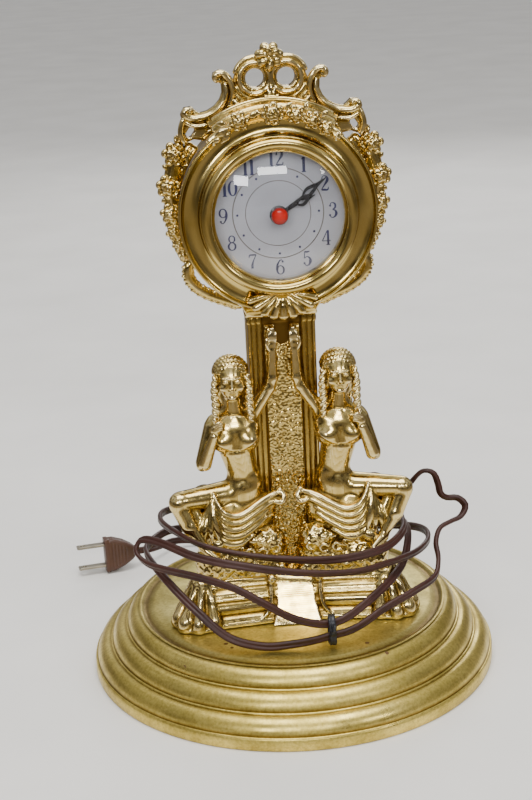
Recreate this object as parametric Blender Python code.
"""Gilt figural electric table clock: turned base, statue with two seated dancers, round clock head.

Every number below is in millimetres and becomes metres when a mesh or a curve is made.
+Z is up, the dial faces -Y, and the origin is the centre of the base's underside.
"""
import math

import bmesh
import bpy
from mathutils import Matrix, Vector

MM = 0.001
GAP = 0.3                       # clearance between touching pieces

# Turned base
BASE_RADIUS = 105.0
BASE_HEIGHT = 32.0
BASE_BAND = 6.3                 # plain band under the rolls
BASE_ROLLS = 3
ROLL_LEDGE = 0.6                # step in at the foot of each roll
DISC_RADIUS = 79.5
BASE_WALL = 1.6
FELT_RADIUS = 100.0
FELT_THICKNESS = 1.0

# Statue
PLINTH_TOP = 56.0
PLINTH_HALF_WIDTH = 33.0
PLINTH_FRONT = -27.0
PLINTH_BACK = 17.0
FOOT_X = 49.0
FOOT_Y = -26.0
PILLAR_HALF_WIDTH = 16.8
PILLAR_FRONT = -11.0
PILLAR_BACK = 13.0
PILLAR_TOP = 187.0
PILLAR_WALL = 2.2
PILLAR_CAP = 4.0                # thickness of its top
NECK_SCREW_AT = (-6.0, 1.0, 0.0)
NECK_LEAD_AT = (6.0, 3.0, 0.0)
LEAD_HOLE = 3.0
SCREW_X = 49.0
SCREW_Y = -24.0
SCREW_RADIUS = 2.0
SCREW_HEAD = 4.0
SCREW_HOLE = 2.3
WASHER_RADIUS = 5.0
WASHER_THICKNESS = 1.0
CARD_THICKNESS = 1.5

# Clock head, turned about the dial's axis
DIAL_Z = 240.0
CASE_RADIUS = 46.6
CASE_RIM = 1.2                  # how far the front rim flares past the drum
CASE_FRONT = -24.0
CASE_BACK = 14.0
CAVITY_RADIUS = 34.5
BEZEL_RADIUS = 37.8
BEZEL_OPENING = 30.6
BEZEL_FRONT = -32.0
DIAL_RADIUS = 33.0
DIAL_FACE = -19.5
DIAL_THICKNESS = 0.8
CREST_FRONT = -8.0
CREST_BACK = -2.0
COVER_RADIUS = 41.5
COVER_THICKNESS = 1.2
COVER_SCREW_HOLE = 1.3

# Movement
GEAR_MODULE = 0.8
CANNON_TEETH = 10
MINUTE_WHEEL_TEETH = 30
MINUTE_PINION_TEETH = 8
HOUR_WHEEL_TEETH = 32
SECONDS_MODULE = 0.8
SECONDS_WHEEL_TEETH = 36
MOTOR_PINION_TEETH = 9
MOTION_CENTRES = GEAR_MODULE * (CANNON_TEETH + MINUTE_WHEEL_TEETH) / 2
SECONDS_CENTRES = SECONDS_MODULE * (SECONDS_WHEEL_TEETH + MOTOR_PINION_TEETH) / 2
STUD_ANGLE = -45.0              # direction of the minute wheel from the dial's centre
MOTOR_ANGLE = 225.0             # direction of the motor pinion
PLATE_RADIUS = 33.0
PLATE_THICKNESS = 1.2
FRONT_PLATE_Y = -12.6
BACK_PLATE_Y = -1.4
MOTION_PLANE = (-14.9, -13.6)   # cannon pinion, minute wheel and set pinion
HOUR_PLANE = (-17.0, -15.6)     # hour wheel and the minute wheel's own pinion
MINUTE_HAND_ANGLE = 54.0        # clockwise from twelve
HOUR_HAND_ANGLE = 64.5

# Cord
CORD_DIAMETER = 4.4
CORD_POINTS = 80
CORD_EXIT_Z = 66.0
RELIEF_LENGTH = 22.0
RELIEF_FLANGE = 2.5
TIE_WIDTH = 3.0
PLUG_FACE = 9.0                 # from the plug's centre to the face that the blades leave
BLADE_SPACING = 12.7
BLADE_WIDTH = 6.35
BLADE_THICKNESS = 1.5
BLADE_LENGTH = 16.0
PLUG_CENTRE = Vector((-93.0, 122.0, 10.4))

TAU = math.tau


# ---------------------------------------------------------------- materials

def material(name, colour, roughness, metallic, alpha=1.0):
    """Return a Principled material, made once for each name."""
    found = bpy.data.materials.get(name)
    if found:
        return found
    made = bpy.data.materials.new(name)
    made.use_nodes = True
    shader = made.node_tree.nodes["Principled BSDF"]
    shader.inputs["Base Color"].default_value = (*colour, 1.0)
    shader.inputs["Roughness"].default_value = roughness
    shader.inputs["Metallic"].default_value = metallic
    shader.inputs["Alpha"].default_value = alpha
    made.diffuse_color = (*colour, alpha)
    return made


def gilt():
    return material("gilt", (0.83, 0.62, 0.22), 0.2, 1.0)


def base_brass():
    return material("base_brass", (0.62, 0.5, 0.24), 0.42, 1.0)


def movement_brass():
    return material("movement_brass", (0.75, 0.6, 0.3), 0.35, 1.0)


def steel():
    return material("steel", (0.6, 0.6, 0.6), 0.35, 1.0)


def black():
    return material("black_paint", (0.015, 0.015, 0.016), 0.4, 0.0)


def brown_rubber():
    return material("brown_rubber", (0.14, 0.065, 0.055), 0.5, 0.0)


# ---------------------------------------------------------------- mesh helpers

def finish(name, shape, made_of, smooth=30.0):
    """Turn a bmesh in millimetres into one named object in metres."""
    bmesh.ops.remove_doubles(shape, verts=shape.verts, dist=1e-5)
    bmesh.ops.recalc_face_normals(shape, faces=shape.faces)
    bmesh.ops.scale(shape, vec=(MM, MM, MM), verts=shape.verts)
    mesh = bpy.data.meshes.new(name)
    shape.to_mesh(mesh)
    shape.free()
    mesh.materials.append(made_of)
    mesh.shade_smooth()
    mesh.set_sharp_from_angle(angle=math.radians(smooth))
    made = bpy.data.objects.new(name, mesh)
    bpy.context.scene.collection.objects.link(made)
    return made


def place(made, location=(0, 0, 0), rotation=None):
    """Place an object by a location in millimetres and an optional rotation matrix."""
    matrix = Matrix.Translation(Vector(location) * MM)
    if rotation is not None:
        matrix = matrix @ rotation.to_4x4()
    made.matrix_world = matrix
    return made


def lathe(name, profile, made_of, segments=40, axis="Z", centre=(0, 0, 0), closed=True):
    """Spin an outline of (radius, height) points about an axis through centre.

    Along axis Z, height h lies at z = h. Along axis Y, it lies at y = h.
    """
    shape = bmesh.new()
    ring = [shape.verts.new((radius, 0.0, height)) for radius, height in profile]
    edges = [shape.edges.new(pair) for pair in zip(ring, ring[1:])]
    if closed:
        edges.append(shape.edges.new((ring[-1], ring[0])))
    bmesh.ops.spin(shape, geom=ring + edges, cent=(0, 0, 0), axis=(0, 0, 1), angle=TAU,
                   steps=segments, use_merge=True, use_normal_flip=False, use_duplicate=False)
    bmesh.ops.remove_doubles(shape, verts=shape.verts, dist=1e-4)
    if axis == "Y":
        turn = Matrix.Rotation(-math.pi / 2, 3, "X")
        bmesh.ops.rotate(shape, verts=shape.verts, cent=(0, 0, 0), matrix=turn)
    bmesh.ops.translate(shape, verts=shape.verts, vec=centre)
    return finish(name, shape, made_of)


def tube_profile(inner, outer, low, high):
    return [(inner, low), (outer, low), (outer, high), (inner, high)]


def rod_profile(radius, low, high):
    return [(0.0, low), (radius, low), (radius, high), (0.0, high)]


def screw_profile(seat, head_height, tip):
    """A pan-headed screw from below: its head ends at seat and its shank reaches up to tip."""
    return [(0.0, seat - head_height), (SCREW_HEAD, seat - head_height), (SCREW_HEAD, seat),
            (SCREW_RADIUS, seat), (SCREW_RADIUS, tip), (0.0, tip)]


def add_box(shape, low, high, bevel=0.0):
    """A block between two corners, with its edges rounded by bevel."""
    made = bmesh.ops.create_cube(shape, size=1.0)["verts"]
    size = Vector(high) - Vector(low)
    bmesh.ops.scale(shape, vec=size, verts=made)
    bmesh.ops.translate(shape, verts=made, vec=(Vector(high) + Vector(low)) / 2)
    if bevel:
        edges = list({edge for vert in made for edge in vert.link_edges})
        bmesh.ops.bevel(shape, geom=edges, offset=bevel, segments=2, profile=0.5, affect="EDGES")


def box(name, low, high, made_of, bevel=0.0):
    shape = bmesh.new()
    add_box(shape, low, high, bevel)
    return finish(name, shape, made_of)


def block(name, x_range, y_range, z_range):
    """A sharp-edged block to join on or cut away; its x range may run either way."""
    low_x, high_x = sorted(x_range)
    return box(name, (low_x, y_range[0], z_range[0]), (high_x, y_range[1], z_range[1]), gilt())


def add_prism(shape, outline, low, high):
    """Extrude an outline of (x, z) points from y = low to y = high."""
    face = shape.faces.new([shape.verts.new((x, low, z)) for x, z in outline])
    moved = bmesh.ops.extrude_face_region(shape, geom=[face])["geom"]
    verts = [item for item in moved if isinstance(item, bmesh.types.BMVert)]
    bmesh.ops.translate(shape, verts=verts, vec=(0, high - low, 0))


def prism(name, outline, low, high, made_of):
    shape = bmesh.new()
    add_prism(shape, outline, low, high)
    return finish(name, shape, made_of)


def cutter(shape_object):
    """Mark an object as a cutting tool, which is not a piece."""
    shape_object.hide_render = True
    shape_object.display_type = "WIRE"
    return shape_object


def cut(target, tool, operation="DIFFERENCE"):
    """Cut a tool from the target, or join it on with operation UNION."""
    modifier = target.modifiers.new(tool.name, "BOOLEAN")
    modifier.operation = operation
    modifier.object = cutter(tool)
    modifier.solver = "EXACT"
    return target


def drill(target, centre, radius, low, high, axis="Z"):
    """Cut a round hole whose axis passes through centre, from low to high along axis."""
    name = f"{target.name}_hole_{len(target.modifiers)}"
    return cut(target, lathe(name, rod_profile(radius, low, high), steel(), 20, axis, centre))


def add_ball(shape, centre, radii, detail=2):
    """A ball, or an ellipsoid where radii holds three numbers."""
    made = bmesh.ops.create_icosphere(shape, subdivisions=detail, radius=1.0)["verts"]
    bmesh.ops.scale(shape, vec=radii if hasattr(radii, "__len__") else (radii,) * 3, verts=made)
    bmesh.ops.translate(shape, verts=made, vec=centre)


def add_limb(shape, start, end, start_radius, end_radius):
    """A tapered limb with round ends."""
    start, end = Vector(start), Vector(end)
    along = end - start
    made = bmesh.ops.create_cone(shape, cap_ends=True, segments=12, radius1=start_radius,
                                 radius2=end_radius, depth=along.length)["verts"]
    turn = Vector((0, 0, 1)).rotation_difference(along).to_matrix()
    bmesh.ops.rotate(shape, verts=made, cent=(0, 0, 0), matrix=turn)
    bmesh.ops.translate(shape, verts=made, vec=(start + end) / 2)
    add_ball(shape, start, start_radius)
    add_ball(shape, end, end_radius)


def fuse(made, voxel, keep):
    """Fuse overlapping shapes into one closed skin, then keep a share of its triangles."""
    remesh = made.modifiers.new("fuse", "REMESH")
    remesh.mode = "VOXEL"
    remesh.voxel_size = voxel * MM
    remesh.use_smooth_shade = True
    thin = made.modifiers.new("thin", "DECIMATE")
    thin.ratio = keep
    return made


def fused(name, shape, made_of, voxel, keep=0.4):
    return fuse(finish(name, shape, made_of), voxel, keep)


def mirrored(made, name):
    """A mirror image of a fused piece as its own object, across the plane x = 0."""
    mesh = made.data.copy()
    mesh.name = name
    shape = bmesh.new()
    shape.from_mesh(mesh)
    bmesh.ops.scale(shape, vec=(-1, 1, 1), verts=shape.verts)
    bmesh.ops.reverse_faces(shape, faces=shape.faces)
    shape.to_mesh(mesh)
    shape.free()
    twin = bpy.data.objects.new(name, mesh)
    bpy.context.scene.collection.objects.link(twin)
    return fuse(twin, made.modifiers["fuse"].voxel_size / MM, made.modifiers["thin"].ratio)


def polar(radius, degrees):
    """(x, z) at an angle in degrees, anticlockwise from +X as seen from the front."""
    return radius * math.cos(math.radians(degrees)), radius * math.sin(math.radians(degrees))


def on_dial(radius, degrees, y):
    """A point at an angle round the dial's centre."""
    x, z = polar(radius, degrees)
    return x, y, DIAL_Z + z


# ---------------------------------------------------------------- gears

def gear(name, teeth, module, low, high, centre, made_of, phase=0.0):
    """A solid spur gear about a Y axis through centre; phase turns it, in teeth."""
    pitch = module * teeth / 2
    tip, root = pitch + 0.8 * module, pitch - 0.95 * module
    outline = []
    for index in range(teeth):
        for part, radius in ((-0.34, root), (-0.13, tip), (0.13, tip), (0.34, root)):
            x, z = polar(radius, (index + part + phase) * 360.0 / teeth)
            outline.append((centre[0] + x, centre[2] + z))
    return prism(name, outline, low, high, made_of)


def mesh_phase(driver_teeth, driver_phase, follower_teeth, line_degrees):
    """Phase that puts a follower's gap where a driver's tooth lies on the line of centres."""
    turns = line_degrees / 360.0
    driver_offset = turns * driver_teeth - driver_phase
    opposite = (line_degrees + 180.0) / 360.0 * follower_teeth
    return opposite + driver_offset + 0.5


# ---------------------------------------------------------------- base

def base_outline():
    """Outside of the pressed base from the rim up to the middle of the disc."""
    points = [(BASE_RADIUS, 0.0), (BASE_RADIUS, BASE_BAND)]
    rise = (BASE_HEIGHT - BASE_BAND) / BASE_ROLLS
    step = (BASE_RADIUS - DISC_RADIUS) / BASE_ROLLS
    for roll in range(BASE_ROLLS):
        outer = BASE_RADIUS - roll * step - ROLL_LEDGE
        foot = BASE_BAND + roll * rise
        for part in (0.3, 0.65, 1.0):
            angle = part * math.pi / 2
            inward = (step - ROLL_LEDGE) * (1 - math.cos(angle))
            points.append((outer - inward, foot + rise * math.sin(angle)))
    points[-1] = (DISC_RADIUS, BASE_HEIGHT)
    points.append((0.0, BASE_HEIGHT))
    return points


def make_base():
    outside = base_outline()
    under = BASE_HEIGHT - BASE_WALL
    rim = BASE_RADIUS - BASE_WALL
    inside = [(0.0, under), (DISC_RADIUS - 3.0, under), (rim - 4.0, BASE_BAND - 1.0),
              (rim, BASE_BAND - 2.0), (rim, 0.0)]
    shell = lathe("base_shell", outside + inside, base_brass(), 44)
    for side in (-1, 1):
        drill(shell, (side * SCREW_X, SCREW_Y, 0), SCREW_HOLE, under - 5.0, BASE_HEIGHT + 4.0)
    card = material("fibreboard", (0.2, 0.13, 0.08), 0.9, 0.0)
    plate = FELT_THICKNESS + GAP
    lathe("base_bottom_plate", rod_profile(FELT_RADIUS, plate, plate + CARD_THICKNESS), card, 32)
    felt = material("green_felt", (0.02, 0.09, 0.04), 0.95, 0.0)
    lathe("felt_pad", rod_profile(FELT_RADIUS, 0.0, FELT_THICKNESS), felt, 32)
    washer_top = under - GAP
    washer_low = washer_top - WASHER_THICKNESS
    for side, x in (("left", -SCREW_X), ("right", SCREW_X)):
        centre = (x, SCREW_Y, 0)
        washer = tube_profile(SCREW_HOLE, WASHER_RADIUS, washer_low, washer_top)
        lathe(f"washer_{side}", washer, steel(), 16, centre=centre)
        screw = screw_profile(washer_low - GAP, 2.6, BASE_HEIGHT + 12.0)
        lathe(f"mounting_screw_{side}", screw, steel(), 12, centre=centre)


# ---------------------------------------------------------------- statue

def make_plinth():
    """Stepped block with a front tablet and two draped feet, cast in one piece."""
    floor = BASE_HEIGHT + GAP
    body = box("plinth", (-PLINTH_HALF_WIDTH, PLINTH_FRONT, floor),
               (PLINTH_HALF_WIDTH, PLINTH_BACK, PLINTH_TOP), gilt(), 1.5)
    foot_profile = [(0.0, floor), (13.5, floor), (12.8, 38.0), (9.5, 47.0), (7.5, 55.0), (0.0, 55.0)]
    for side in (-1, 1):
        foot = lathe(f"plinth_foot_{side}", foot_profile, gilt(), 20, centre=(side * FOOT_X, FOOT_Y, 0))
        cut(body, foot, "UNION")
        wing = block(f"plinth_wing_{side}", (side * 25.0, side * 50.0), (-20.0, 8.0), (floor + 0.15, 52.0))
        cut(body, wing, "UNION")
    tablet = [(-11.5, 36.0), (11.5, 36.0), (9.0, 52.0), (-9.0, 52.0)]
    cut(body, prism("plinth_tablet", tablet, -30.0, -20.0, gilt()), "UNION")
    for side in (-1, 1):
        drill(body, (side * SCREW_X, SCREW_Y, 0), SCREW_HOLE, 20.0, 46.0)
    return body


def make_pillar():
    """Hollow rectangular column, open below, with holes on top for the neck screw and the lead."""
    floor = PLINTH_TOP + GAP
    pillar = box("pillar", (-PILLAR_HALF_WIDTH, PILLAR_FRONT, floor),
                 (PILLAR_HALF_WIDTH, PILLAR_BACK, PILLAR_TOP), gilt(), 1.5)
    reach = PILLAR_HALF_WIDTH - PILLAR_WALL
    inner = block("pillar_hollow", (-reach, reach), (PILLAR_FRONT + PILLAR_WALL, PILLAR_BACK - PILLAR_WALL),
                  (floor - 5.0, PILLAR_TOP - PILLAR_CAP))
    cut(pillar, inner)
    drill(pillar, (0, 0, CORD_EXIT_Z), 4.3, PILLAR_BACK - 6.0, PILLAR_BACK + 4.0, "Y")
    drill(pillar, NECK_SCREW_AT, SCREW_HOLE, PILLAR_TOP - 8.0, PILLAR_TOP + 4.0)
    drill(pillar, NECK_LEAD_AT, LEAD_HOLE, PILLAR_TOP - 8.0, PILLAR_TOP + 4.0)
    return pillar


def figure_shape():
    """The dancer on the right, as plain masses: raised arm, bent arm, skirt and raised knee."""
    shape = bmesh.new()
    add_ball(shape, (26.5, -18.0, 158.5), (7.6, 8.2, 11.0))                 # head and hair
    add_limb(shape, (26.0, -16.5, 150.0), (26.0, -16.5, 138.0), 3.6, 4.6)   # neck
    add_ball(shape, (20.0, -15.0, 145.0), (3.0, 3.4, 8.0))                  # hair locks
    add_ball(shape, (32.5, -15.0, 145.0), (3.0, 3.4, 8.0))
    add_limb(shape, (20.0, -16.5, 136.0), (35.0, -16.5, 135.5), 4.6, 4.6)   # shoulders
    add_ball(shape, (26.5, -18.0, 128.0), (10.0, 7.2, 8.6))                 # chest
    add_limb(shape, (24.5, -17.5, 120.0), (23.0, -17.0, 106.0), 7.6, 7.4)   # waist
    add_ball(shape, (25.5, -18.0, 97.0), (12.0, 8.4, 9.5))                  # hips
    add_limb(shape, (18.5, -16.0, 136.5), (8.5, -14.9, 152.5), 3.6, 2.9)    # raised upper arm
    add_limb(shape, (8.5, -14.9, 152.5), (7.2, -14.7, 168.0), 2.8, 2.4)     # forearm
    add_limb(shape, (7.0, -14.7, 169.0), (5.4, -14.4, 181.0), 2.6, 2.2)     # hand
    add_limb(shape, (36.5, -17.0, 135.0), (44.0, -20.0, 116.0), 4.0, 3.4)   # bent upper arm
    add_limb(shape, (44.0, -20.5, 116.0), (37.0, -23.5, 132.0), 3.2, 2.4)   # bent forearm
    add_limb(shape, (32.0, -20.0, 97.0), (56.5, -27.0, 101.0), 7.6, 5.4)    # raised thigh
    add_limb(shape, (57.0, -27.0, 100.0), (46.0, -31.0, 78.0), 4.8, 3.4)    # shin
    add_limb(shape, (46.0, -31.0, 77.0), (37.0, -35.0, 68.0), 3.4, 2.6)     # foot
    add_ball(shape, (24.0, -22.0, 84.0), (17.0, 12.0, 14.0))                # skirt over the lap
    add_limb(shape, (24.0, -22.0, 92.0), (8.0, -20.0, 96.0), 5.0, 3.0)      # curl of drapery
    add_limb(shape, (30.0, -25.0, 80.0), (12.0, -26.0, 66.0), 8.0, 6.0)     # folded leg under the skirt
    add_ball(shape, (18.0, -22.0, 66.0), (14.0, 9.0, 9.0))                  # rockwork
    add_ball(shape, (38.0, -20.0, 68.0), (14.0, 12.0, 11.0))
    return shape


def make_figures():
    """The right dancer and its mirror image, cut clear of the pillar, the plinth and each other."""
    right = fused("figure_right", figure_shape(), gilt(), 2.4, 0.3)
    left = mirrored(right, "figure_left")
    edge = PILLAR_HALF_WIDTH + GAP
    for figure, side in ((right, 1), (left, -1)):
        name = figure.name
        cut(figure, block(f"{name}_pillar_clearance", (-side, side * edge), (PILLAR_FRONT - GAP, 40.0),
                          (40.0, 230.0)))
        cut(figure, block(f"{name}_plinth_clearance", (-90.0, 90.0), (-60.0, 60.0),
                          (20.0, PLINTH_TOP + GAP)))
        cut(figure, block(f"{name}_middle_clearance", (side * 0.4, -side * 30.0), (-60.0, 60.0),
                          (20.0, 230.0)))


# ---------------------------------------------------------------- clock head

def make_case():
    """Drum with a flared front rim, open at the back, on a short neck that stands on the pillar."""
    profile = [(BEZEL_OPENING + 1.0, CASE_FRONT), (CASE_RADIUS, CASE_FRONT),
               (CASE_RADIUS + CASE_RIM, CASE_FRONT + 2.0), (CASE_RADIUS, CASE_FRONT + 4.0),
               (CASE_RADIUS - 1.0, CASE_BACK - 3.0),
               (CASE_RADIUS - 3.5, CASE_BACK), (CAVITY_RADIUS, CASE_BACK),
               (CAVITY_RADIUS, DIAL_FACE - 1.0), (BEZEL_OPENING + 1.0, DIAL_FACE - 1.0)]
    case = lathe("clock_case", profile, gilt(), 44, "Y", (0, 0, DIAL_Z))
    top = DIAL_Z - CASE_RADIUS + 5.0
    foot = PILLAR_TOP + GAP
    neck = [(-PILLAR_HALF_WIDTH, foot), (PILLAR_HALF_WIDTH, foot),
            (PILLAR_HALF_WIDTH + 5.0, top), (-PILLAR_HALF_WIDTH - 5.0, top)]
    cut(case, prism("case_neck", neck, PILLAR_FRONT, PILLAR_BACK - 1.0, gilt()), "UNION")
    low = PILLAR_TOP - 2.0
    drill(case, NECK_SCREW_AT, SCREW_HOLE, low, PILLAR_TOP + 8.0)
    drill(case, NECK_LEAD_AT, LEAD_HOLE, low, DIAL_Z - CAVITY_RADIUS + 6.0)
    for place_at in cover_screws():
        drill(case, place_at, COVER_SCREW_HOLE, CASE_BACK - 7.0, CASE_BACK + 2.0, "Y")
    return case


def cover_screws():
    """Where the three back cover screws sit round the dial's axis."""
    return [on_dial(39.0, 90 + 120 * index, 0) for index in range(3)]


def make_back_cover():
    """Vented disc behind the movement, its three screws and the hole for the set knob."""
    back = CASE_BACK + GAP
    face = back + COVER_THICKNESS
    axis = (0, 0, DIAL_Z)
    cover = lathe("back_cover", rod_profile(COVER_RADIUS, back, face), movement_brass(), 40, "Y", axis)
    seat = face + GAP
    screw = [(0.0, CASE_BACK - 5.5), (1.0, CASE_BACK - 5.5), (1.0, seat), (2.4, seat), (2.0, seat + 1.4),
             (0.0, seat + 1.6)]
    for index, centre in enumerate(cover_screws()):
        drill(cover, centre, COVER_SCREW_HOLE, back - 2.0, back + 4.0, "Y")
        lathe(f"back_cover_screw_{index + 1}", screw, steel(), 12, "Y", centre)
    for index in range(5):
        left = 5.0 * index - 12.0
        cut(cover, block(f"back_cover_vent_{index}", (left, left + 2.0), (back - 2.0, back + 4.0),
                         (DIAL_Z + 10.0, DIAL_Z + 26.0)))
    drill(cover, knob_centre(), 2.2, back - 2.0, back + 4.0, "Y")
    return cover


def make_face():
    """Bezel, domed crystal and dial, all turned about the dial's axis."""
    back = CASE_FRONT - GAP
    bezel = [(BEZEL_OPENING, back), (BEZEL_OPENING, BEZEL_FRONT + 3.0),
             (BEZEL_OPENING + 1.6, BEZEL_FRONT + 0.4), (BEZEL_OPENING + 3.0, BEZEL_FRONT),
             (BEZEL_OPENING + 4.6, BEZEL_FRONT + 0.8), (BEZEL_RADIUS - 0.8, BEZEL_FRONT + 4.4),
             (BEZEL_RADIUS, back)]
    lathe("bezel", bezel, gilt(), 44, "Y", (0, 0, DIAL_Z))
    glass = material("crystal_glass", (0.95, 0.97, 0.97), 0.03, 0.0, 0.2)
    rim = BEZEL_OPENING - GAP
    edge, rise, thickness = BEZEL_FRONT + 4.0, 6.0, 1.2
    outer, inner = [], []
    for step in range(6):
        part = step / 5
        sag = 1 - part * part
        outer.append((rim * part, edge - rise * sag))
        inner.append((rim * part, edge + thickness - rise * sag))
    lathe("crystal", outer + inner[::-1], glass, 32, "Y", (0, 0, DIAL_Z), closed=False)
    paper = material("dial_white", (0.85, 0.85, 0.88), 0.6, 0.0)
    dial = tube_profile(3.2, DIAL_RADIUS, DIAL_FACE, DIAL_FACE + DIAL_THICKNESS)
    lathe("dial", dial, paper, 36, "Y", (0, 0, DIAL_Z))


def scroll_outline():
    """Half of the crest's outline, from the crown's middle down the outside to the drum."""
    return [(0.0, 70.0), (6.0, 72.5), (13.0, 68.5), (17.0, 61.0), (21.0, 65.0), (25.0, 67.0), (28.5, 63.0),
            (27.0, 57.5), (24.0, 55.0), (26.5, 49.5), (31.5, 46.5), (36.0, 49.5), (41.5, 49.5), (44.5, 45.0),
            (43.5, 39.5), (41.5, 35.0), (38.5, 31.5)]


def make_crest():
    """Pierced scroll crest standing on the drum behind its front rim."""
    half = scroll_outline()
    low = CASE_RADIUS + GAP + 1.0
    arc = [polar(low, degrees) for degrees in range(42, 91, 6)]
    outline = half + arc + [(-x, z) for x, z in reversed(half + arc[:-1])][:-1]
    outline = [(x, DIAL_Z + z) for x, z in outline]
    crest = prism("crest", outline, CREST_FRONT, CREST_BACK, gilt())
    for side in (-1, 1):
        drill(crest, (side * 7.4, 0, DIAL_Z + 62.3), 4.3, CREST_FRONT - 2, CREST_BACK + 2, "Y")
        drill(crest, (side * 38.8, 0, DIAL_Z + 39.0), 2.0, CREST_FRONT - 2, CREST_BACK + 2, "Y")
    return crest


def make_crest_flower():
    shape = bmesh.new()
    front = CREST_FRONT - GAP
    for index in range(5):
        x, z = polar(4.6, 90 + 72 * index)
        add_ball(shape, (x, front - 2.6, DIAL_Z + 71.0 + z), (3.6, 2.0, 3.2))
    add_ball(shape, (0, front - 3.4, DIAL_Z + 71.0), (2.6, 2.4, 2.6))
    return fused("crest_flower", shape, gilt(), 1.1, 0.3)


def make_flower_swag():
    """Row of blossoms over the bezel, in front of the drum's rim."""
    shape = bmesh.new()
    front = CASE_FRONT - GAP - 2.4
    centres = []
    for index in range(9):
        x, _, z = on_dial(44.6, 54 + 9 * index, 0)
        lift = 4.0 * math.cos(math.radians((index - 4) * 22.0))
        size = 3.9 if index % 2 == 0 else 3.0
        centres.append((x, front + 0.4, z + lift))
        add_ball(shape, (x, front, z + lift), (size, 2.0, size))
    for start, end in zip(centres, centres[1:]):
        add_limb(shape, start, end, 1.5, 1.5)
    return fused("flower_swag", shape, gilt(), 1.3, 0.3)


def make_garlands():
    """Side garlands of blossoms and leaves round the drum's flanks."""
    shape = bmesh.new()
    for index in range(9):
        degrees = 34.0 - 7.0 * index
        radius = 50.5 + 0.1 * (degrees + 22.0) + (0.7 if index % 2 else -0.6)
        x, _, z = on_dial(radius, degrees, 0)
        add_ball(shape, (x, -4.0, z), (4.3, 6.0, 4.6))
    right = fused("garland_right", shape, gilt(), 1.9, 0.3)
    left = mirrored(right, "garland_left")
    for piece in (right, left):
        drum = rod_profile(CASE_RADIUS + CASE_RIM + GAP, -40.0, 40.0)
        cut(piece, lathe(f"{piece.name}_clearance", drum, gilt(), 44, "Y", (0, 0, DIAL_Z)))
    return right, left


def loop_points():
    """Centre line of the open leaf loop under the drum, on the right."""
    return [(45.8, -28.0), (44.6, -32.5), (41.5, -37.0), (35.0, -41.3), (29.0, -44.2), (23.8, -46.2)]


def make_loops():
    shape = bmesh.new()
    points = [(x, -4.0, DIAL_Z + z) for x, z in loop_points()]
    for start, end in zip(points, points[1:]):
        add_limb(shape, start, end, 2.7, 2.7)
    right = fused("loop_right", shape, gilt(), 1.5, 0.35)
    left = mirrored(right, "loop_left")
    return right, left


def make_shell_ornament():
    """Double fan of ribs below the bezel."""
    shape = bmesh.new()
    front = CASE_FRONT - GAP - 2.2
    centre = DIAL_Z - 44.0
    for index in range(9):
        degrees = 180.0 + 22.5 * index
        x, z = polar(1.0, degrees)
        add_limb(shape, (2.0 * x, front - 0.4, centre + 1.0), (14.0 * x, front, centre + 7.5 * z), 1.4, 2.0)
    for side in (-1, 1):
        add_limb(shape, (side * 2.0, front, centre + 3.0), (side * 13.0, front, centre + 3.4), 2.0, 2.0)
    return fused("shell_ornament", shape, gilt(), 1.2, 0.3)


def make_head():
    """Everything that the pillar carries, and the screw that holds it from below."""
    make_case()
    make_back_cover()
    make_face()
    make_crest()
    make_crest_flower()
    make_flower_swag()
    make_garlands()
    make_loops()
    make_shell_ornament()
    screw = screw_profile(PILLAR_TOP - PILLAR_CAP - GAP, 2.4, PILLAR_TOP + 7.0)
    lathe("neck_screw", screw, steel(), 12, centre=NECK_SCREW_AT)


# ---------------------------------------------------------------- movement

def stud_centre():
    return on_dial(MOTION_CENTRES, STUD_ANGLE, 0)


def knob_centre():
    """The set knob's pinion sits one more centre distance straight below the minute wheel."""
    x, _, z = stud_centre()
    return x, 0.0, z - MOTION_CENTRES


def motor_centre():
    return on_dial(SECONDS_CENTRES, MOTOR_ANGLE, 0)


def make_plates():
    """Two plates that carry the train, held apart by three pillars."""
    brass = movement_brass()
    axis = (0, 0, DIAL_Z)
    front_disc = rod_profile(PLATE_RADIUS, FRONT_PLATE_Y, FRONT_PLATE_Y + PLATE_THICKNESS)
    front = lathe("movement_front_plate", front_disc, brass, 32, "Y", axis)
    back_disc = rod_profile(PLATE_RADIUS, BACK_PLATE_Y, BACK_PLATE_Y + PLATE_THICKNESS)
    back = lathe("movement_back_plate", back_disc, brass, 32, "Y", axis)
    drill(front, axis, 2.4, FRONT_PLATE_Y - 2, FRONT_PLATE_Y + 4, "Y")
    drill(back, axis, 1.1, BACK_PLATE_Y - 2, BACK_PLATE_Y + 4, "Y")
    for plate, y in ((front, FRONT_PLATE_Y), (back, BACK_PLATE_Y)):
        drill(plate, knob_centre(), 2.0, y - 2, y + 4, "Y")
    drill(back, motor_centre(), 1.9, BACK_PLATE_Y - 2, BACK_PLATE_Y + 4, "Y")
    post = rod_profile(2.0, FRONT_PLATE_Y + PLATE_THICKNESS + GAP, BACK_PLATE_Y - GAP)
    for index in range(3):
        lathe(f"movement_pillar_{index + 1}", post, brass, 12, "Y", on_dial(28.5, 80 + 120 * index, 0))


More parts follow.
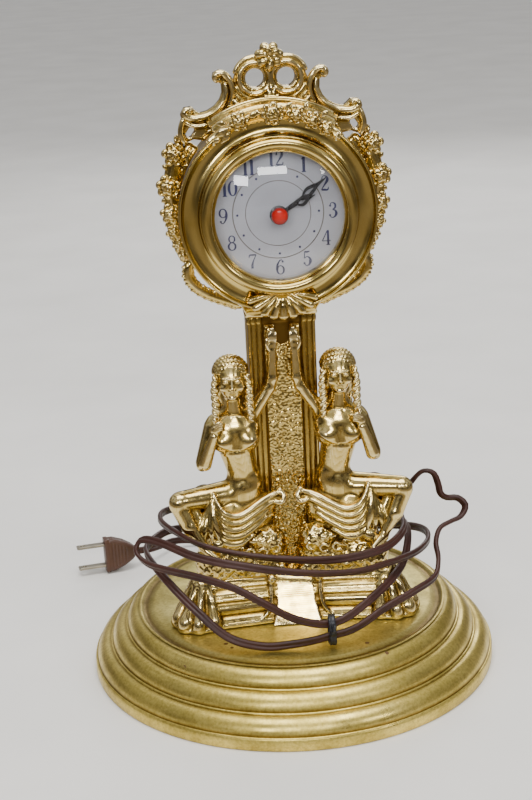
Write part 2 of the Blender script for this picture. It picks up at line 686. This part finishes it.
def make_motor():
    """Synchronous motor behind the back plate: laminated core, coil and sealed rotor unit."""
    x, _, z = motor_centre()
    low, high = 5.6, 10.4
    core = box("core_laminations", (x - 10.6, low, z - 10.6), (x + 10.6, high, z + 34.0), steel(), 0.6)
    window = box("core_window", (x - 7.0, low - 2, z + 12.0), (x + 7.0, high + 2, z + 27.0), steel())
    cut(core, window)
    drill(core, (x, 0, z), 8.6, low - 2, high + 2, "Y")
    enamel = material("motor_tape", (0.35, 0.22, 0.06), 0.6, 0.0)
    coil = box("motor_coil", (x - 6.0, 1.9, z + 21.0), (x + 6.0, 13.6, z + 39.5), enamel, 1.4)
    cut(coil, block("coil_window", (x - 9.0, x + 9.0), (low - GAP, high + GAP),
                    (z + 27.0 - GAP, z + 34.0 + GAP)))
    rear = BACK_PLATE_Y + PLATE_THICKNESS + GAP
    profile = [(0.0, rear + 0.9), (8.2, rear + 0.9), (8.2, 11.6), (7.4, 12.4), (0.0, 12.4)]
    lathe("rotor_unit", profile, movement_brass(), 24, "Y", (x, 0, z), closed=False)
    phase = mesh_phase(SECONDS_WHEEL_TEETH, 0.0, MOTOR_PINION_TEETH, MOTOR_ANGLE)
    pinion = gear("motor_pinion", MOTOR_PINION_TEETH, SECONDS_MODULE, -9.2, -6.6, (x, 0, z), steel(), phase)
    arbor = lathe("motor_pinion_arbor", rod_profile(1.4, -9.0, rear + 0.6), steel(), 10, "Y", (x, 0, z))
    cut(pinion, arbor, "UNION")


def make_train():
    """Concentric arbors on the dial's axis and the motion work that joins them."""
    brass = movement_brass()
    centre = (0, 0, DIAL_Z)

    wheel = gear("seconds_arbor", SECONDS_WHEEL_TEETH, SECONDS_MODULE, -8.6, -7.4, centre, brass)
    cut(wheel, lathe("seconds_rod", rod_profile(0.8, -26.0, -0.7), steel(), 12, "Y", centre), "UNION")

    low, high = MOTION_PLANE
    pinion = gear("minute_arbor", CANNON_TEETH, GEAR_MODULE, low, high, centre, brass)
    cut(pinion, lathe("minute_tube", rod_profile(1.7, -25.2, low + 0.2), brass, 16, "Y", centre), "UNION")
    drill(pinion, centre, 1.2, -30.0, high + 2.0, "Y")

    upper_low, upper_high = HOUR_PLANE
    phase = mesh_phase(MINUTE_PINION_TEETH, 0.5, HOUR_WHEEL_TEETH, STUD_ANGLE + 180.0)
    hour = gear("hour_wheel", HOUR_WHEEL_TEETH, GEAR_MODULE, upper_low, upper_high, centre, brass, phase)
    cut(hour, lathe("hour_tube", rod_profile(2.7, -22.9, upper_low + 0.2), brass, 16, "Y", centre), "UNION")
    drill(hour, centre, 2.1, -30.0, upper_high + 2.0, "Y")

    x, _, z = stud_centre()
    minute_phase = mesh_phase(CANNON_TEETH, 0.0, MINUTE_WHEEL_TEETH, STUD_ANGLE)
    minute = gear("minute_wheel", MINUTE_WHEEL_TEETH, GEAR_MODULE, low, high, (x, 0, z), brass, minute_phase)
    small = gear("minute_wheel_pinion", MINUTE_PINION_TEETH, GEAR_MODULE, upper_low - 0.2, low + 0.2,
                 (x, 0, z), brass, 0.5)
    cut(minute, small, "UNION")
    drill(minute, (x, 0, z), 1.3, upper_low - 2.0, high + 2.0, "Y")
    lathe("minute_wheel_stud", rod_profile(1.0, -17.6, FRONT_PLATE_Y - GAP), steel(), 12, "Y", (x, 0, z))

    x, _, z = knob_centre()
    phase = mesh_phase(MINUTE_WHEEL_TEETH, minute_phase, CANNON_TEETH, -90.0)
    knob = gear("set_knob", CANNON_TEETH, GEAR_MODULE, low, high, (x, 0, z), brass, phase)
    rear = CASE_BACK + GAP + 1.2 + 1.0
    profile = [(0.0, low - 0.4), (1.5, low - 0.4), (1.5, rear), (5.0, rear), (5.4, rear + 1.0),
               (5.4, rear + 6.0), (4.6, rear + 7.0), (0.0, rear + 7.0)]
    cut(knob, lathe("set_knob_shaft", profile, brass, 18, "Y", (x, 0, z), closed=False), "UNION")


def hand_outline(length, width, tail):
    """A spade hand pointing up: tail, slender stem, pierced spade and needle tip."""
    half = [(width * 0.3, -tail), (width * 0.22, 0.0), (width * 0.2, length * 0.5),
            (width * 0.5, length * 0.62), (width * 0.42, length * 0.72), (width * 0.14, length * 0.82)]
    return half + [(0.0, length)] + [(-x, z) for x, z in reversed(half)]


def make_hand(name, length, width, low, high, hub, bore, degrees):
    shape = bmesh.new()
    add_prism(shape, hand_outline(length, width, 7.0), low, high)
    hand = finish(name, shape, black())
    disc = lathe(f"{name}_hub", rod_profile(hub, low - 0.1, high + 0.1), black(), 24, "Y")
    cut(hand, disc, "UNION")
    turn = Matrix.Rotation(math.radians(degrees), 3, "Y")
    for piece in (hand, disc):
        place(piece, (0, 0, DIAL_Z), turn)
    return drill(hand, (0, 0, DIAL_Z), bore, low - 2, high + 2, "Y")


def make_hands():
    make_hand("hour_hand", 19.5, 6.0, -22.6, -22.0, 4.2, 2.7 + 0.05, HOUR_HAND_ANGLE)
    make_hand("minute_hand", 28.0, 5.0, -24.6, -24.0, 4.5, 1.7 + 0.05, MINUTE_HAND_ANGLE)
    jewel = material("red_jewel", (0.7, 0.03, 0.02), 0.08, 0.0, 0.85)
    profile = [(0.0, -26.3), (3.0, -26.3), (4.1, -27.0), (4.1, -27.8), (3.3, -29.6), (1.8, -30.8),
               (0.0, -31.2)]
    lathe("seconds_jewel", profile, jewel, 24, "Y", (0, 0, DIAL_Z), closed=False)


# ---------------------------------------------------------------- cord

def smooth_curve(points, count):
    """Read evenly spaced points from a smooth (Catmull-Rom) curve through the route's points."""
    route = [Vector(point) for point in points]
    route = [2 * route[0] - route[1]] + route + [2 * route[-1] - route[-2]]
    fine = []
    for before, start, end, after in zip(route, route[1:], route[2:], route[3:]):
        for step in range(24):
            t = step / 24
            bend = 2 * before - 5 * start + 4 * end - after
            twist = 3 * start - before - 3 * end + after
            fine.append(0.5 * (2 * start + (end - before) * t + bend * t ** 2 + twist * t ** 3))
    fine.append(route[-2])
    lengths = [0.0]
    for start, end in zip(fine, fine[1:]):
        lengths.append(lengths[-1] + (end - start).length)
    read, index = [], 0
    for number in range(count):
        target = lengths[-1] * number / (count - 1)
        while index < len(fine) - 2 and lengths[index + 1] < target:
            index += 1
        part = (target - lengths[index]) / (lengths[index + 1] - lengths[index])
        read.append(fine[index].lerp(fine[index + 1], part))
    return read


def tube(name, points, radius, made_of, resolution=2):
    curve = bpy.data.curves.new(name, "CURVE")
    curve.dimensions = "3D"
    curve.bevel_depth = radius * MM
    curve.bevel_resolution = resolution
    curve.use_fill_caps = True
    curve.twist_mode = "MINIMUM"
    spline = curve.splines.new("POLY")
    spline.points.add(len(points) - 1)
    for point, position in zip(spline.points, points):
        point.co = (*(position * MM), 1.0)
    curve.materials.append(made_of)
    made = bpy.data.objects.new(name, curve)
    bpy.context.scene.collection.objects.link(made)
    return made


def cord_route():
    """The cord's way from the strain relief, four times round the statue and down to its plug."""
    start = PILLAR_BACK + GAP + RELIEF_FLANGE + RELIEF_LENGTH + 2 * GAP
    return [
        (0, start, 66), (0, start + 5, 66), (5, 50, 66), (18, 55, 66.5), (36, 48, 68), (49, 33, 71),
        (56, 14, 74), (58, -8, 76.5), (55.5, -28, 75.5), (42, -44, 73.5), (17, -51, 73),
        (-16, -51.5, 77), (-44, -43.5, 81.5), (-59.5, -28, 84.5), (-66, -6, 82), (-63, 18, 77),
        (-47, 38, 71), (-22, 49, 61), (6, 52, 57), (34, 46, 61), (54, 30, 66), (61.5, 16, 71),
        (61.5, 7, 78.5), (62.5, 1, 86), (65.5, -4, 93.5), (70, -6, 98.5), (75, -8, 98),
        (77.3, -9, 92.5), (78.5, -9.5, 87), (82, -8.5, 84), (87.5, -9, 83.5), (91, -11.5, 80),
        (88, -14.5, 75.5), (82, -17, 74), (76, -20, 72), (73, -25, 66.5), (73, -31.5, 60),
        (69.5, -39, 54), (58, -48, 51.5), (42, -56, 47.5), (30, -60.5, 42), (22, -62.6, 39.4),
        (14, -63.2, 38.2), (6, -63.2, 36.4), (-5, -63, 35), (-20, -63, 35), (-36, -61, 40),
        (-50, -54, 51), (-65, -36, 62), (-74, -12, 66), (-72, 8, 64), (-61, 30, 61), (-39, 50, 53),
        (-10, 60, 49.5), (22, 58, 50), (46, 42, 53), (58, 22, 59), (62, 3, 67), (60.5, -14, 66),
        (55.5, -29, 59.5), (46, -45.5, 57), (33, -57, 52), (22, -62.2, 47), (14, -63.2, 44.8),
        (6, -63.8, 45.5), (-6, -64, 50), (-19, -62.5, 58), (-33, -57.5, 65), (-50, -48.5, 68),
        (-64, -39, 68.5), (-74, -31, 69.5), (-79, -24.5, 73.5), (-76, -23, 79), (-66, -31.5, 80),
        (-50, -45.5, 77.5), (-30, -54, 75), (0, -57, 70), (26, -54, 67), (44, -46, 66.5), (61, -32, 65),
        (71, -13, 63), (73, 10, 59), (66, 34, 52), (46, 54, 45), (18, 67, 39), (-8, 70, 36.6),
        (-26, 71, 36.6), (-35.5, 77, 35.6), (-38, 85, 31.8), (-37, 93, 25.8), (-34.5, 101, 17.8),
        (-31, 109.5, 8.6), (-29, 118, 3.4), (-30, 129, 2.6), (-36, 140, 2.8), (-48, 147, 4),
        (-60, 143.5, 6), (-68.5, 134, 7.5), (-74.5, 126.5, 9.2), (-81.7, 124.3, 9.7),
    ]


def plug_turn():
    """The plug points away from the cord, to the front left, and lies on its edge."""
    return Matrix.Rotation(math.radians(-170.0), 3, "Z") @ Matrix.Rotation(math.radians(8.0), 3, "X")


def make_plug():
    """Moulded two-pin plug whose own +X runs from the cord towards the blades."""
    turn = plug_turn()
    shape = bmesh.new()
    half = [(-9.0, 3.0), (-2.0, 7.5), (6.0, 10.0), (PLUG_FACE, 10.0)]
    outline = half + [(x, -z) for x, z in reversed(half)]
    add_prism(shape, outline, -5.0, 5.0)
    body = finish("plug_body", shape, brown_rubber())
    bevel = body.modifiers.new("round", "BEVEL")
    bevel.width = 1.4 * MM
    bevel.segments = 2
    place(body, PLUG_CENTRE, turn)
    root = PLUG_FACE + GAP
    for name, z in (("plug_blade_upper", BLADE_SPACING / 2), ("plug_blade_lower", -BLADE_SPACING / 2)):
        low = Vector((root, -BLADE_WIDTH / 2, z - BLADE_THICKNESS / 2))
        high = Vector((root + BLADE_LENGTH, BLADE_WIDTH / 2, z + BLADE_THICKNESS / 2))
        place(box(name, low, high, steel(), 0.3), PLUG_CENTRE, turn)


def stadium(radius, half_length):
    """Outline with round ends, standing on its end."""
    outline = []
    for degrees in range(0, 360, 20):
        x, z = polar(radius, degrees)
        outline.append((x, z + (half_length if degrees < 180 else -half_length)))
    return outline


def tie_place():
    """The tie is turned so that the two strands of cord run through it."""
    return (14.0, -63.2, 41.5), Matrix.Rotation(math.pi / 2, 3, "Z")


def make_cord():
    """Strain relief, power cord, the lead inside the pillar, plug and the tie round two strands."""
    back = PILLAR_BACK + GAP
    flange = back + RELIEF_FLANGE
    tip = flange + RELIEF_LENGTH
    bush = [(2.4, back - 4.0), (3.9, back - 4.0), (3.9, back), (6.5, back), (6.5, flange),
            (4.2, flange + 0.7), (3.0, tip), (2.4, tip)]
    lathe("cord_strain_relief", bush, brown_rubber(), 20, "Y", (0, 0, CORD_EXIT_Z))
    tube("power_cord", smooth_curve(cord_route(), CORD_POINTS), CORD_DIAMETER / 2, brown_rubber())
    lead = [(0, 2, CORD_EXIT_Z), (0, 1, CORD_EXIT_Z + 12), (2, 2, 110), (6, 3, 150), (6, 3, 180), (6, 3, 205),
            (5, 4, 222), (4, 8, 240), (3, 11.6, 251), (-1, 12.2, 257), (-4.9, 12.2, 258)]
    tube("internal_lead", smooth_curve(lead, 28), 1.2, brown_rubber())
    make_plug()
    tie = prism("cord_tie", stadium(4.5, 3.5), -TIE_WIDTH / 2, TIE_WIDTH / 2, black())
    hollow = prism("tie_hollow", stadium(3.7, 3.5), -TIE_WIDTH, TIE_WIDTH, black())
    cut(tie, hollow)
    for piece in (tie, hollow):
        place(piece, *tie_place())


def main():
    for item in list(bpy.data.objects):
        bpy.data.objects.remove(item, do_unlink=True)
    make_base()
    make_plinth()
    make_pillar()
    make_figures()
    make_head()
    make_plates()
    make_motor()
    make_train()
    make_hands()
    make_cord()


main()
